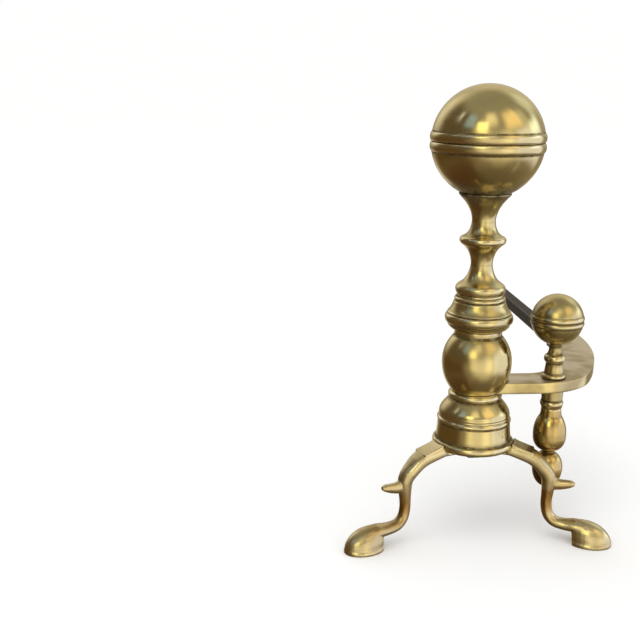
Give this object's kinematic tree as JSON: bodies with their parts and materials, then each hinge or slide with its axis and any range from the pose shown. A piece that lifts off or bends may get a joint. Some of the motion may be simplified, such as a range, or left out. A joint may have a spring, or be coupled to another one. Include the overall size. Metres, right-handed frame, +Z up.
{
  "type": "andiron",
  "caption": "Ball-top brass andiron with cabriole legs, side bar with log stop and drop, and an iron billet bar with rear leg.",
  "frame": {"origin": "bottom centre of the bounding box, on the floor", "axes": "+Z up, the front with the two cabriole legs faces -Y, the billet bar runs back along +Y"},
  "size_m": [0.263, 0.5062, 0.3997],
  "materials": {
    "polished_brass": "polished, lightly aged",
    "leg_brass": "cast and polished, warmer and more aged",
    "wrought_iron": "forged, blackened by fire"
  },
  "bodies": {
    "root": {"base_plinth": "polished_brass", "base_bell": "polished_brass", "bulb": "polished_brass", "bell_collar": "polished_brass", "finial_neck": "polished_brass", "ball_lower_half": "polished_brass", "ball_upper_half": "polished_brass", "ball_nut": "wrought_iron", "tie_rod": "wrought_iron", "tie_washer": "wrought_iron", "tie_nut": "wrought_iron", "leg_left": "leg_brass", "leg_right": "leg_brass", "side_bar": "polished_brass", "stop_stem": "polished_brass", "stop_ball": "polished_brass", "stop_rod": "wrought_iron", "drop_collar": "polished_brass", "drop_finial": "leg_brass", "billet_bar": "wrought_iron", "bar_rivets": "wrought_iron", "rear_leg": "wrought_iron"}
  },
  "joints": []
}
